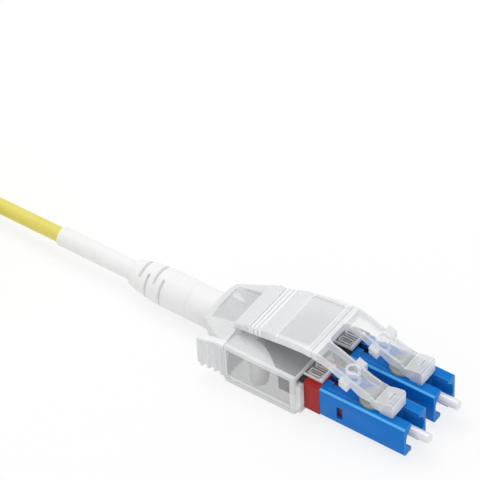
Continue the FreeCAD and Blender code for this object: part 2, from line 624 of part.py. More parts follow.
def inner_holder():
    """Black clamp over the two stems: arrow-shaped plate under the deck, side blocks, strip over the lip."""
    rear = HOUSING_REAR + HOLDER_TIP
    wide = HOUSING_REAR + HOLDER_WIDE
    front = HOUSING_FRONT - WALL - SEAM
    near, far = -TAB_SIDE + WALL + HOLDER_FIT, PLAIN_SIDE - WALL - HOLDER_FIT
    plate = plan_profile([(rear, -HOLDER_TIP_HALF), (wide, near), (front, near), (front, far), (wide, far),
                          (rear, HOLDER_TIP_HALF)], HOLDER_TOP - HOLDER_PLATE, HOLDER_TOP)
    low = AXIS_HEIGHT - HOLDER_SIDE_DROP
    shape = plate.fuse(box(wide, wide + HOLDER_SIDE_LENGTH, near, near + WALL, low, HOLDER_TOP))
    shape = shape.fuse(box(wide, wide + HOLDER_SIDE_LENGTH, far - WALL, far, low, HOLDER_TOP))
    clamp = box(SADDLE_AT + SADDLE_LENGTH + SEAM, front, near, far, AXIS_HEIGHT + SEAM, HOLDER_TOP)
    shape = shape.fuse(clamp)
    strip_low = LIP_TOP + SEAM / 2
    strip_front = HOUSING_FRONT + LIP_LENGTH - SEAM
    strip_near, strip_far = near + LIP_STEP, far - LIP_STEP
    shape = shape.fuse(box(HOUSING_FRONT + SEAM, strip_front, strip_near, strip_far, strip_low, STRIP_TOP))
    for y in SIDES.values():
        bridge = box(front - SEAM, strip_front, y - STEM_R, y + STEM_R, AXIS_HEIGHT + SEAM, STRIP_TOP)
        shape = shape.fuse(bridge)
    for y in SIDES.values():
        shape = shape.cut(rod(HOUSING_REAR, strip_front + PAST, STEM_R + SEAM, y))
    for y in POST_Y:
        shape = shape.cut(post(HOUSING_REAR + POST_AT, y, POST_R + POST_FIT, 0, HOUSING_HEIGHT))
    return shape.removeSplitter()


def anchor_block():
    """White block in the housing's rear: fibres enter it, two posts locate it, the crimp stem leaves it."""
    rear = HOUSING_REAR + ANCHOR_GAP
    low, high = WALL + SEAM, HOUSING_HEIGHT - WALL - SEAM
    middle = HOUSING_REAR + POST_AT
    near, far = POST_Y
    top = HOLDER_TOP - HOLDER_PLATE - SEAM
    shape = box(rear, ANCHOR_FRONT, -ANCHOR_HALF, ANCHOR_HALF, low, top)
    shape = shape.fuse(box(middle - WALL, middle + WALL, near, far, low, top))
    shape = shape.fuse(post(middle, near, POST_R, low, high)).fuse(post(middle, far, POST_R, low, high))
    shape = shape.fuse(rod(CRIMP_START, rear, CRIMP_R - CRIMP_WALL))
    shape = shape.cut(rod(CRIMP_START - PAST, CORD_STOP, CORD_R + CORD_FIT))
    clear = FIBRE_R + SEAM
    shape = shape.cut(box(CORD_STOP - SEAM, ANCHOR_FRONT, -FIBRE_GAP - clear, FIBRE_GAP + clear,
                          AXIS_HEIGHT - clear, AXIS_HEIGHT + clear))
    throat = ANCHOR_FRONT - MOUTH_LENGTH - FERRULE_TRAVEL
    narrow, wide = FIBRE_GAP + clear, ANCHOR_HALF + WALL
    flare = [(throat, -narrow), (ANCHOR_FRONT, -wide), (ANCHOR_FRONT, wide), (throat, narrow)]
    mouth = plan_profile(flare, AXIS_HEIGHT - clear, AXIS_HEIGHT + clear)
    return shape.cut(mouth).removeSplitter()


def crimp_sleeve():
    """Metal tube crimped over the cord's strength yarns, on the anchor's stem."""
    tube = rod(CRIMP_START, HOUSING_REAR - SEAM, CRIMP_R)
    return tube.cut(rod(CRIMP_START - PAST, HOUSING_REAR, CRIMP_R - CRIMP_WALL + SEAM / 2))


def boot():
    """White bend-relief boot: straight front, tapered rear with flex slots from above and below by turns."""
    front = HOUSING_REAR - BOOT_INSIDE
    taper = BOOT_REAR + BOOT_TAPER
    rims = [Part.Wire(Part.Circle(Vector(x, 0, AXIS_HEIGHT), Vector(1, 0, 0), r).toShape())
            for x, r in ((BOOT_REAR, BOOT_NECK_R), (taper, BOOT_R))]
    shape = Part.makeLoft(rims, True, True).fuse(rod(taper, front, BOOT_R))
    shape = shape.cut(rod(CRIMP_START - SEAM, front + PAST, CRIMP_R + SEAM))
    shape = shape.cut(rod(BOOT_REAR - PAST, front, SLEEVE_R))
    core = rod(BOOT_REAR, taper, SLEEVE_R + FLEX_WALL)
    for i in range(FLEX_CUTS):
        x = BOOT_REAR + FLEX_START + i * FLEX_PITCH
        half = box(x, x + FLEX_WIDTH, -BOOT_R, BOOT_R, AXIS_HEIGHT - FLEX_LAP, AXIS_HEIGHT + BOOT_R)
        half.rotate(Vector(x, 0, AXIS_HEIGHT), Vector(1, 0, 0), 180 * (i % 2))
        shape = shape.cut(half.cut(core))
    return shape


def tail_sleeve():
    """Smooth white sleeve that leaves the boot and grips the cord."""
    sleeve = rod(SLEEVE_REAR, SLEEVE_FRONT, SLEEVE_R - SEAM / 2)
    return sleeve.cut(rod(SLEEVE_REAR - PAST, SLEEVE_FRONT + PAST, CORD_R + CORD_FIT))


# Cord's route from the sleeve to the coil, chosen by hand.
CORD_ROUTE = [
    (SLEEVE_REAR, 0.0, AXIS_HEIGHT),
    (SLEEVE_REAR - CORD_STRAIGHT, 0.0, AXIS_HEIGHT),
    (COIL_X, COIL_Y + COIL_TURN_R + 2 * CORD_R, CORD_R),
]


def cord_radii(points):
    """Arc radius at each inner point: 0.45 of the shorter run over the tangent of half the turn."""
    points = [Vector(*p) for p in points]
    radii = []
    for before, here, after in zip(points, points[1:], points[2:]):
        turn = (here - before).getAngle(after - here)
        shorter = min((here - before).Length, (after - here).Length)
        radii.append(0.45 * shorter / math.tan(turn / 2))
    return radii


def cord_tube():
    """Cord along its route, printed with its radii and measured length."""
    radii = cord_radii(CORD_ROUTE)
    start = Vector(*CORD_ROUTE[0])
    section = Part.Wire(Part.Circle(start, (Vector(*CORD_ROUTE[1]) - start).normalize(), CORD_R).toShape())
    shape, length = bent_rod(CORD_ROUTE, radii, section)
    print("cord radii", [round(r, 1) for r in radii], "length", round(length, 2),
          "volume over section x length", round(shape.Volume / (math.pi * CORD_R ** 2 * length), 5))
    return shape


def cord_coil():
    """Outer shape of the wound coil: turns one cord diameter apart, side by side and in layers."""
    spread = COIL_COLUMNS * CORD_R
    high = COIL_LAYERS * 2 * CORD_R
    inside = post(COIL_X, COIL_Y, COIL_TURN_R - spread, -PAST, high + PAST)
    return post(COIL_X, COIL_Y, COIL_TURN_R + spread, 0, high).cut(inside)


# The cord's far end: the same connector, plainly made, lying beside the coil.
COIL_OUTER_TURN = COIL_TURN_R + (COIL_COLUMNS - 1) * CORD_R
FAR_TURN = 225.0        # where round the coil the cord leaves it, from +X
FAR_RUN = 10.0          # straight cord from the coil to the far sleeve


def beside_coil(shape):
    """Move a piece from its place on the near connector to its place on the far one."""
    leave = math.radians(FAR_TURN)
    way = Vector(-math.sin(leave), math.cos(leave), 0)
    start = Vector(COIL_X, COIL_Y, 0) + Vector(math.cos(leave), math.sin(leave), 0) * COIL_OUTER_TURN
    there = Placement(start + way * FAR_RUN, Rotation(Vector(1, 0, 0), way))
    from_sleeve = Placement(Vector(-SLEEVE_REAR, 0, 0), Rotation())
    moved = shape.copy()
    moved.Placement = there * from_sleeve * shape.Placement
    return moved


def far_plug(y):
    half = PLUG_SIDE / 2
    back = PLUG_BACK
    body = box(back, back + PLUG_LENGTH, y - half, y + half, AXIS_HEIGHT - half, PLUG_TOP)
    slot = NOSE_SLOT / 2
    return body.cut(box(back + CHAMBER_DEPTH + WEB_LENGTH, back + PLUG_LENGTH, y - slot, y + slot,
                        AXIS_HEIGHT - slot, PLUG_TOP))


def far_ring(y):
    half = RING_SIDE / 2
    front = PLUG_BACK - SEAM
    low = AXIS_HEIGHT - half
    return box(front - RING_LENGTH, front, y - half, y + half, low, low + RING_SIDE)


def far_latch():
    """Trigger, arms and feet of the far connector as one plain moulding."""
    top = TRIGGER_TOP + ARM_TOP[1:] + [(PLUG_BACK + FOOT_END, ARM_TOP[-1][1])]
    under = TRIGGER_UNDER[:-1] + ARM_UNDER + [(PLUG_BACK + FOOT_END, PLUG_TOP)]
    whole = side_profile(top + under[::-1], PITCH / 2 + ARM_HALF)
    slot = PLUG_BACK + SLOT_END
    inner = PITCH / 2 - ARM_HALF
    return whole.cut(box(slot, PLUG_BACK + PLUG_LENGTH, -inner, inner, 0, 2 * ROOF))


def export(name, shape):
    if shape.ShapeType == "Compound" and len(shape.Solids) == 1:
        shape = shape.Solids[0]
    shape.exportStep("parts/" + name + ".step")
    print(name, "valid", shape.isValid(), "solids", len(shape.Solids), "volume", round(shape.Volume, 2))


os.makedirs("parts", exist_ok=True)
pieces = {"clear_housing": clear_housing(), "trigger_plate": trigger_plate(), "latch_arms": latch_arms()}
for side, y in SIDES.items():
    pieces["latch_foot_" + side] = latch_foot(y)
    pieces["latch_pad_" + side] = latch_pad(y)
    pieces["plug_body_" + side] = plug_body(y)
    pieces["barrel_" + side] = barrel(y)
    pieces["spring_" + side] = spring(y)
    pieces["flange_" + side] = flange(y)
    pieces["ferrule_" + side] = ferrule(y)
    pieces["fibre_" + side] = fibre(y)
pieces["inner_holder"] = inner_holder()
pieces["anchor_block"] = anchor_block()
pieces["crimp_sleeve"] = crimp_sleeve()
pieces["boot"] = boot()
pieces["tail_sleeve"] = tail_sleeve()
pieces["cord_in_boot"] = rod(SLEEVE_REAR, CORD_STOP - SEAM, CORD_R)
pieces["cord"] = cord_tube()
pieces["cord_coil"] = cord_coil()
pieces["cord_end"] = beside_coil(rod(SLEEVE_REAR - FAR_RUN, SLEEVE_REAR, CORD_R))
pieces["far_housing"] = beside_coil(housing_shell())
pieces["far_latch"] = beside_coil(far_latch())
for side, y in SIDES.items():
    pieces["far_ring_" + side] = beside_coil(far_ring(y))
    pieces["far_plug_" + side] = beside_coil(far_plug(y))
    seat = PLUG_BACK + CHAMBER_DEPTH + WEB_LENGTH
    tip = PLUG_BACK + PLUG_LENGTH + FERRULE_REACH
    pieces["far_ferrule_" + side] = beside_coil(rod(seat, tip, FERRULE_R, y))
pieces["far_boot"] = beside_coil(rod(BOOT_REAR, HOOD_REAR, BOOT_R))
pieces["far_sleeve"] = beside_coil(rod(SLEEVE_REAR, BOOT_REAR, SLEEVE_R - SEAM / 2))
for name, shape in pieces.items():
    export(name, shape)
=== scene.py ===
import json
import math

import bmesh
import bpy
from mathutils import Matrix, Vector

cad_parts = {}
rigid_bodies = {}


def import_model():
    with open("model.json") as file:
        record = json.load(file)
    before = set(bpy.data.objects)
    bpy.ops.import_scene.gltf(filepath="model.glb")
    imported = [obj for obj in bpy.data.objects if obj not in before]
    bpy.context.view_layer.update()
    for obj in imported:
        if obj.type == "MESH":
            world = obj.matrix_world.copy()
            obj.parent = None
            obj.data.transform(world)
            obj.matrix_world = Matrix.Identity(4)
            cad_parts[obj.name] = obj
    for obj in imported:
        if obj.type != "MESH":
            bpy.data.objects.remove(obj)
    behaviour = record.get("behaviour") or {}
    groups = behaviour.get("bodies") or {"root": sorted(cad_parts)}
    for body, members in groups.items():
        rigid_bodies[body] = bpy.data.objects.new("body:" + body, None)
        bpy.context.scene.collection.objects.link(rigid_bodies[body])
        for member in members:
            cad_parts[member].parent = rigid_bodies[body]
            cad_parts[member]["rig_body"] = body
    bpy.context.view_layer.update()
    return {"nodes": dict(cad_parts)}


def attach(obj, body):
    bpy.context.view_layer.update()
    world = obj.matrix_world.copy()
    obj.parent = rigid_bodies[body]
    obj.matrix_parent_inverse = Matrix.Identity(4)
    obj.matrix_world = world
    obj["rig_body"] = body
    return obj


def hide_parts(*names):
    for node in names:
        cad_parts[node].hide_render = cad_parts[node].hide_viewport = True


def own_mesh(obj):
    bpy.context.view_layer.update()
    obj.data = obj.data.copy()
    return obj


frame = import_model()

# ---- Camera ----
# A long lens looks down on the finger-tab side of the connector, a little turned about its own axis,
# so that the ferrules point to the lower right and the cord leaves at the upper left.
LENS_AT = (0.141342, -0.193251, 0.255480)
LENS_LENGTH = 218.68
turn, lift, roll = math.radians(37.4686), math.radians(44.3788), math.radians(-2.8994)
back = Vector((math.sin(turn) * math.cos(lift), -math.cos(turn) * math.cos(lift), math.sin(lift)))
right = Vector((math.cos(turn), math.sin(turn), 0.0))
up = back.cross(right)
lens_right = right * math.cos(roll) + up * math.sin(roll)
lens_up = up * math.cos(roll) - right * math.sin(roll)
lens = bpy.data.cameras.new("lens")
lens.sensor_width = 36.0
lens.lens = LENS_LENGTH
lens.clip_start = 0.01
lens.clip_end = 5.0
camera = bpy.data.objects.new("camera", lens)
camera.matrix_world = Matrix.Translation(Vector(LENS_AT)) @ Matrix(
    (lens_right, lens_up, back)).transposed().to_4x4()
bpy.context.scene.collection.objects.link(camera)
bpy.context.scene.camera = camera


# ---- Cord ----
# Round duplex patch cord, 2 mm over a pale yellow PVC jacket, extruded smooth. It runs straight out of the
# white sleeve, down to the table, and is wound there into a neat coil of about eleven turns in four layers.
MM = 0.001              # metres; sizes below are in millimetres
AXIS_Z = 2.95           # the connector's axis above the table
SLEEVE_REAR_X = -34.575


class Value:
    """A number socket; Python's operators add Math nodes to it."""

    def __init__(self, finish, socket):
        self.finish = finish
        self.socket = socket

    def maths(self, operation, a, b):
        return self.finish.node("ShaderNodeMath", {"operation": operation}, {0: a, 1: b})

    def __add__(self, other):
        return self.maths("ADD", self, other)

    __radd__ = __add__

    def __sub__(self, other):
        return self.maths("SUBTRACT", self, other)

    def __rsub__(self, other):
        return self.maths("SUBTRACT", other, self)

    def __mul__(self, other):
        return self.maths("MULTIPLY", self, other)

    __rmul__ = __mul__

    def __pow__(self, other):
        return self.maths("POWER", self, other)

    def __abs__(self):
        return self.maths("ABSOLUTE", self, 0.0)


class Finish:
    """One moulded or extruded finish: a node material that ends in a Principled surface."""

    def __init__(self, name):
        self.material = bpy.data.materials.new(name)
        self.material.use_nodes = True
        self.tree = self.material.node_tree
        self.tree.nodes.clear()

    def node(self, kind, settings, sockets, out=0):
        made = self.tree.nodes.new(kind)
        for name, setting in settings.items():
            setattr(made, name, setting)
        for name, value in sockets.items():
            if isinstance(value, Value):
                self.tree.links.new(value.socket, made.inputs[name])
            else:
                made.inputs[name].default_value = value
        return Value(self, made.outputs[out])

    def place(self):
        """Where a point is on the piece, in metres."""
        return self.node("ShaderNodeTexCoord", {}, {}, "Object")

    def along(self, axis):
        """How far along one axis of the connector a point is, in millimetres."""
        return self.node("ShaderNodeSeparateXYZ", {}, {"Vector": self.place()}, axis) * (1 / MM)

    def rise(self, value, start, end):
        """0 before start and 1 past end, with a straight ramp between; end may be the lower one."""
        return self.node("ShaderNodeMapRange", {}, {"Value": value, "From Min": start, "From Max": end})

    def either(self, first, *others):
        """The larger of some masks."""
        for other in others:
            first = first.maths("MAXIMUM", first, other)
        return first

    def stripe(self, value, middle, half):
        """1 on a stripe about a middle line, 0 beside it."""
        return self.rise(abs(value - middle), half, half * 0.6)

    def noise(self, per_mm, detail=2.0, roughness=0.5):
        return self.node("ShaderNodeTexNoise", {"noise_dimensions": "3D"},
                         {"Vector": self.place(), "Scale": per_mm / MM, "Detail": detail,
                          "Roughness": roughness})

    def blend(self, mask, a, b):
        """From colour a to colour b as the mask goes from 0 to 1."""
        return self.node("ShaderNodeMix", {"data_type": "RGBA"}, {"Factor": mask, "A": a, "B": b}, "Result")

    def bump(self, height, depth_mm):
        return self.node("ShaderNodeBump", {}, {"Height": height, "Distance": depth_mm * MM, "Strength": 1.0},
                         "Normal")

    def surface(self, **sockets):
        names = {name.replace("_", " "): value for name, value in sockets.items()}
        shader = self.node("ShaderNodeBsdfPrincipled", {}, names)
        return self.close(shader)

    def close(self, shader):
        output = self.tree.nodes.new("ShaderNodeOutputMaterial")
        self.tree.links.new(shader.socket, output.inputs["Surface"])
        return self.material


def colour(red, green, blue):
    return (red, green, blue, 1.0)


def jacket_finish():
    finish = Finish("yellow_jacket")
    wear = finish.noise(0.35, 3.0)
    grain = finish.noise(14.0, 2.0)
    skin = finish.blend(wear, colour(0.76, 0.67, 0.115), colour(0.84, 0.76, 0.19))
    return finish.surface(Base_Color=skin, Roughness=0.36 + 0.14 * grain, Normal=finish.bump(grain, 0.012),
                          Specular_IOR_Level=0.4)


CORD_R = 1.0
COIL_AT = (-60.0, -12.5)
SLOTS = [(14, 1), (12, 1), (10, 1), (10, 3), (10, 5), (10, 7),      # radius and height of each turn
         (12, 7), (14, 7), (14, 5), (12, 5), (12, 3), (14, 3)]
COIL_R = SLOTS[0][0]
STRAIGHT_ON = (2, 4, 5, 7)      # steps that go on the way the step before them went
FIRST_STEP = 329.0              # degrees of winding before the cord first moves over
STEP_SPAN = 60.0
STEP_SHIFT = 27.0               # each change of direction comes this much earlier in its turn
WINDING = 11.375 * 360
POINTS_A_TURN = 18


def coil_points():
    """Control points of the winding: from slot to slot, each slot one turn, side by side and in layers."""
    step_at = [FIRST_STEP]
    for step in range(2, len(SLOTS)):
        step_at.append(step_at[-1] + 360 - (0 if step in STRAIGHT_ON else STEP_SHIFT))
    swell = 1 / (0.75 + 0.25 * math.cos(2 * math.pi / POINTS_A_TURN))
    points = []
    count = round(WINDING / 360 * POINTS_A_TURN)
    for i in range(1, count + 1):
        wound = WINDING * i / count
        radius, height = SLOTS[0]
        for (r0, z0), (r1, z1), at in zip(SLOTS, SLOTS[1:], step_at):
            share = min(max((wound - at) / STEP_SPAN + 0.5, 0.0), 1.0)
            share = share * share * (3 - 2 * share)
            radius += (r1 - r0) * share
            height += (z1 - z0) * share
        angle = math.radians(90 + wound)
        out = radius * swell
        points.append((COIL_AT[0] + out * math.cos(angle), COIL_AT[1] + out * math.sin(angle), height))
    return points


def round_curve(name, points, radius):
    """A round cord along one smooth line through its control points, in millimetres."""
    line = bpy.data.curves.new(name, "CURVE")
    line.dimensions = "3D"
    line.bevel_depth = radius * MM
    line.bevel_resolution = 5
    line.resolution_u = 4
    line.use_fill_caps = True
    spline = line.splines.new("NURBS")
    spline.points.add(len(points) - 1)
    for point, place in zip(spline.points, points):
        point.co = (place[0] * MM, place[1] * MM, place[2] * MM, 1.0)
    spline.order_u = 3
    spline.use_endpoint_u = True
    piece = bpy.data.objects.new(name, line)
    bpy.context.scene.collection.objects.link(piece)
    return piece


cord_route = [(SLEEVE_REAR_X, 0.0, AXIS_Z), (SLEEVE_REAR_X - 10.0, 0.0, AXIS_Z),
              (COIL_AT[0], COIL_AT[1] + COIL_R, CORD_R)]
cord_tail = [(-69.9, -22.4, 2.97), (-62.828, -29.471, AXIS_Z)]
cord = round_curve("patch_cord", cord_route + coil_points()[:-1] + cord_tail, CORD_R)
cord.data.materials.append(jacket_finish())
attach(cord, "connector")
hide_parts("cord", "cord_coil", "cord_end")


# ---- Plug bodies ----
# Two square plug bodies, injection-moulded in glossy blue polymer, polished in the mould. A painted
# highlight, a lighter blue, runs on the rounded edges and long chamfers; the chamber, window and mouth are
# cored out.
PLUG_Y = 3.125          # a plug's axis, to either side of the middle
SIDES = (("left", PLUG_Y), ("right", -PLUG_Y))
CHAMFER_OUT = 2.9       # the long chamfers lie further than this from a plug's axis


def moulded(name, node, finishes, edge_mm, rounds=2, sharper_than=28.0):
    """A moulded copy of a machined piece with its edges rounded; the second finish goes on the rounds."""
    source = frame["nodes"][node]
    shell = bmesh.new()
    shell.from_mesh(source.data)
    bmesh.ops.remove_doubles(shell, verts=shell.verts, dist=0.002 * MM)
    bmesh.ops.dissolve_limit(shell, angle_limit=math.radians(1.5), verts=shell.verts, edges=shell.edges)
    for face in shell.faces:
        face.material_index = 0
    crisp = [e for e in shell.edges
             if len(e.link_faces) == 2 and e.calc_face_angle(0.0) > math.radians(sharper_than)]
    bmesh.ops.bevel(shell, geom=crisp, offset=edge_mm * MM, offset_type="OFFSET", segments=rounds,
                    profile=0.5, affect="EDGES", clamp_overlap=True, material=len(finishes) - 1)
    bmesh.ops.triangulate(shell, faces=[f for f in shell.faces if len(f.verts) > 4])
    mesh = bpy.data.meshes.new(name)
    shell.to_mesh(mesh)
    shell.free()
    for finish in finishes:
        mesh.materials.append(finish)
    mesh.polygons.foreach_set("use_smooth", [True] * len(mesh.polygons))
    mesh.set_sharp_from_angle(angle=math.radians(32))
    piece = bpy.data.objects.new(name, mesh)
    bpy.context.scene.collection.objects.link(piece)
    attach(piece, source["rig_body"])
    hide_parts(node)
    return piece


def refinish(finish, *nodes):
    """A machined piece whose shape is right keeps it and only gets its finish."""
    for node in nodes:
        frame["nodes"][node].data.materials.clear()
        frame["nodes"][node].data.materials.append(finish)


def blue_finish():
    finish = Finish("blue_polymer")
    cloud = finish.noise(0.5, 2.0)
    skin = finish.noise(9.0, 2.0)
    shade = finish.blend(cloud, colour(0.0, 0.158, 0.57), colour(0.0, 0.195, 0.66))
    return finish.surface(Base_Color=shade, Roughness=0.24 + 0.12 * skin, Normal=finish.bump(skin, 0.006),
                          Specular_IOR_Level=0.14)


# Painted highlight: the plugs' rounded edges and long chamfers get a lighter blue than the body.
def blue_edge_highlight_finish():
    finish = Finish("blue_polymer_edge_highlight")
    skin = finish.noise(9.0, 2.0)
    return finish.surface(Base_Color=finish.blend(skin, colour(0.06, 0.42, 0.9), colour(0.14, 0.52, 0.95)),
                          Roughness=0.22 + 0.1 * skin, Specular_IOR_Level=0.45)


blue = [blue_finish(), blue_edge_highlight_finish()]
plug_pieces = []
for side, y in SIDES:
    plug = moulded("plug_shell_" + side, "plug_body_" + side, blue, edge_mm=0.1)
    # The long chamfers take the painted highlight finish as well.
    for face in plug.data.polygons:
        off_axis = math.hypot(face.center.y / MM - y, face.center.z / MM - AXIS_Z)
        if off_axis > CHAMFER_OUT and min(abs(face.normal.y), abs(face.normal.z)) > 0.5:
            face.material_index = 1
    plug_pieces.append(plug)


# ---- Rings, barrels and catches ----
# Each plug snaps onto a rear piece whose square ring shows between plug and housing. One is dark red and
# the other black, so that the two fibres can be told apart; both are moulded and slightly glossy. The red
# ring's rounded edges are painted a lighter red as a highlight, and the part of each rear piece inside its
# plug, seen as the catch in the side window, is painted darker as shade.
# Past this point a rear piece is painted darker, as the shade inside its plug.
IN_PLUG = (7.8, 7.9)    # from here on a rear piece is inside its plug


def ring_finish(name, dull, bright, catch):
    """catch is a painted shade: the darker colour of the part inside the plug, which shows as the catch in
    the side window.
    """
    finish = Finish(name)
    catch_shade = finish.rise(finish.along("X"), *IN_PLUG)
    cloud = finish.noise(0.8, 3.0)
    skin = finish.noise(12.0, 2.0)
    shade = finish.blend(catch_shade, finish.blend(cloud, dull, bright), catch)
    return finish.surface(Base_Color=shade, Roughness=0.28 + 0.14 * skin, Normal=finish.bump(skin, 0.008),
                          Specular_IOR_Level=0.2)


# Painted highlight: lighter reds for the red ring's rounded edges.
red_edge_highlight = ring_finish("dark_red_polymer_edge_highlight", colour(0.52, 0.06, 0.06), colour(0.62, 0.1, 0.09),
                       colour(0.16, 0.008, 0.02))
red = ring_finish("dark_red_polymer", colour(0.35, 0.012, 0.014), colour(0.43, 0.02, 0.02),
                  colour(0.13, 0.006, 0.016))
black = ring_finish("black_polymer", colour(0.012, 0.012, 0.014), colour(0.022, 0.022, 0.026),
                    colour(0.01, 0.01, 0.012))
ring_pieces = [
    moulded("rear_piece_left", "barrel_left", [black, black], edge_mm=0.05),
    moulded("rear_piece_right", "barrel_right", [red, red_edge_highlight], edge_mm=0.07),
]


# ---- Ferrules, flanges, springs and fibres ----
# The ferrules are zirconia, ground and polished bright white, pressed into turned metal flanges. A steel
# spring behind each flange pushes it forward; the buffered fibres run through to the cord.
def ceramic_finish():
    finish = Finish("polished_ceramic")
    lapping = finish.noise(20.0, 2.0)
    cloud = finish.noise(0.6, 1.0)
    return finish.surface(Base_Color=finish.blend(cloud, colour(0.84, 0.84, 0.84), colour(0.9, 0.9, 0.9)),
                          Roughness=0.1 + 0.1 * lapping, Coat_Weight=0.5, Coat_Roughness=0.05,
                          Normal=finish.bump(lapping, 0.002))


def metal_finish():
    finish = Finish("turned_steel")
    turned = finish.noise(10.0, 3.0)
    return finish.surface(Base_Color=finish.blend(turned, colour(0.55, 0.55, 0.56), colour(0.68, 0.68, 0.69)),
                          Metallic=1.0, Roughness=0.25 + 0.15 * turned, Normal=finish.bump(turned, 0.004))


def buffer_finish():
    finish = Finish("fibre_buffer")
    cloud = finish.noise(2.0, 2.0)
    return finish.surface(Base_Color=finish.blend(cloud, colour(0.75, 0.74, 0.7), colour(0.85, 0.84, 0.8)),
                          Roughness=0.4 + 0.1 * cloud)


def turned_piece(name, profile, sides, finish, y):
    """A piece of revolution about an axis along X; profile is a list of (x, radius), in millimetres."""
    body = bmesh.new()
    rings = []
    for x, radius in profile:
        if radius == 0.0:
            rings.append([body.verts.new(Vector((x, y, AXIS_Z)) * MM)])
            continue
        ring = []
        for i in range(sides):
            angle = 2 * math.pi * i / sides
            across, upward = radius * math.cos(angle), radius * math.sin(angle)
            ring.append(body.verts.new(Vector((x, y + across, AXIS_Z + upward)) * MM))
        rings.append(ring)
    for near, far in zip(rings, rings[1:]):
        for i in range(sides):
            j = (i + 1) % sides
            corners = [near[i % len(near)], near[j % len(near)], far[j % len(far)], far[i % len(far)]]
            body.faces.new(list(dict.fromkeys(corners)))
    bmesh.ops.recalc_face_normals(body, faces=body.faces)
    mesh = bpy.data.meshes.new(name)
    body.to_mesh(mesh)
    body.free()
    mesh.materials.append(finish)
    mesh.polygons.foreach_set("use_smooth", [True] * len(mesh.polygons))
    mesh.set_sharp_from_angle(angle=math.radians(35))
    piece = bpy.data.objects.new(name, mesh)
    bpy.context.scene.collection.objects.link(piece)
    return piece


ceramic = ceramic_finish()
FERRULE_R = 0.625
FERRULE_TIP_X = 21.875
FERRULE_ROUND = 0.28
GRIP_BACK_X, GRIP_FRONT_X = 14.675, 15.725      # the thinner rear end, held in the flange head
GRIP_R = 0.55
ferrule_pieces = []
for side, y in SIDES:
    tip_round = [(FERRULE_TIP_X - FERRULE_ROUND * (1 - math.sin(math.radians(a))),
                  FERRULE_R - FERRULE_ROUND * (1 - math.cos(math.radians(a)))) for a in range(0, 91, 15)]
    grip = [(GRIP_BACK_X, 0.0), (GRIP_BACK_X, GRIP_R), (GRIP_FRONT_X, GRIP_R), (GRIP_FRONT_X, FERRULE_R)]
    profile = grip + tip_round + [(FERRULE_TIP_X, 0.0)]
    ferrule = turned_piece("ceramic_ferrule_" + side, profile, 48, ceramic, y)
    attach(ferrule, "ferrule_%s_slider" % side)
    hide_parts("ferrule_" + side)
    ferrule_pieces.append(ferrule)
metal = metal_finish()
refinish(metal, "flange_left", "flange_right", "crimp_sleeve")
refinish(buffer_finish(), "fibre_left", "fibre_right")
for side in ("left", "right"):
    coil = moulded("ferrule_spring_" + side, "spring_" + side, [metal, metal], edge_mm=0.01, rounds=1)
    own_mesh(coil)


# ---- Inner holder and anchor block ----
# A black clamp holds the two stems under the deck and closes the lip with a strip. Behind it an off-white
# block takes the fibres and carries the crimp; two round posts locate it in the housing.
def holder_finish():
    finish = Finish("matt_black_polymer")
    speckle = finish.noise(7.0, 4.0, 0.7)
    shade = finish.blend(speckle, colour(0.006, 0.006, 0.008), colour(0.035, 0.036, 0.042))
    return finish.surface(Base_Color=shade, Roughness=0.5 + 0.2 * speckle, Normal=finish.bump(speckle, 0.02))


def anchor_finish():
    finish = Finish("off_white_polymer")
    cloud = finish.noise(1.2, 3.0)
    return finish.surface(Base_Color=finish.blend(cloud, colour(0.88, 0.88, 0.84), colour(0.93, 0.93, 0.9)),
                          Roughness=0.45 + 0.15 * cloud, Normal=finish.bump(cloud, 0.01))


holder_black = holder_finish()
holder_pieces = [moulded("stem_holder", "inner_holder", [holder_black, holder_black], edge_mm=0.05)]
anchor_white = anchor_finish()
anchor_pieces = [moulded("fibre_anchor", "anchor_block", [anchor_white, anchor_white], edge_mm=0.04)]


# ---- Sleeve and boot ----
# Soft white elastomer. The boot is straight at the housing and swells out of a narrow rear end; four slots,
# cut from two opposite sides by turns, let it bend. A smooth sleeve leads the cord into it.
def soft_white_finish(name, shade, worn):
    finish = Finish(name)
    cloud = finish.noise(0.7, 3.0)
    skin = finish.noise(11.0, 3.0)
    return finish.surface(Base_Color=finish.blend(cloud, shade, worn), Roughness=0.5 + 0.15 * skin,
                          Normal=finish.bump(skin, 0.012), Specular_IOR_Level=0.35)


boot_white = soft_white_finish("soft_white_boot", colour(0.885, 0.885, 0.885), colour(0.925, 0.925, 0.925))
sleeve_white = soft_white_finish("soft_white_sleeve", colour(0.885, 0.885, 0.89), colour(0.925, 0.925, 0.93))
BOOT_R = 2.45
BOOT_NARROW_R = 1.74
BOOT_TAPER = 5.8
BOOT_SIDES = 150
BOOT_STEP = 0.045       # between the rings of the slotted length
SLOTTED_LENGTH = 5.9
RIM_LENGTH, RIM_DROP = 0.35, 0.24
BORE = ((0.02, 1.31), (1.0, 1.3))       # distance from the rear end, and radius
BOOT_REAR, BOOT_FRONT = -23.175, -5.425
SLOT_FIRST, SLOT_PITCH, SLOT_WIDTH = 1.89, 1.12, 0.3
SLOT_DEPTH = 0.62
SLOT_REACH = 98.0       # degrees from a slot's middle to its end
SLOT_TURN = 54.0        # middle of the upper slots, from the top towards the plain side
SEAM_AT = 9.2
SEAM_HALF, SEAM_DEPTH = 0.07, 0.05


def boot_radius(x):
    """The boot's outside: a rounded rear rim, a swelling taper, then straight."""
    along = (x - BOOT_REAR) / BOOT_TAPER
    if along >= 1.0:
        return BOOT_R
    swell = BOOT_NARROW_R + (BOOT_R - BOOT_NARROW_R) * math.sin(along * math.pi / 2) ** 0.9
    rim = min((x - BOOT_REAR) / RIM_LENGTH, 1.0)
    return swell - RIM_DROP * (1 - math.sqrt(max(1 - (1 - rim) ** 2, 0.0)))


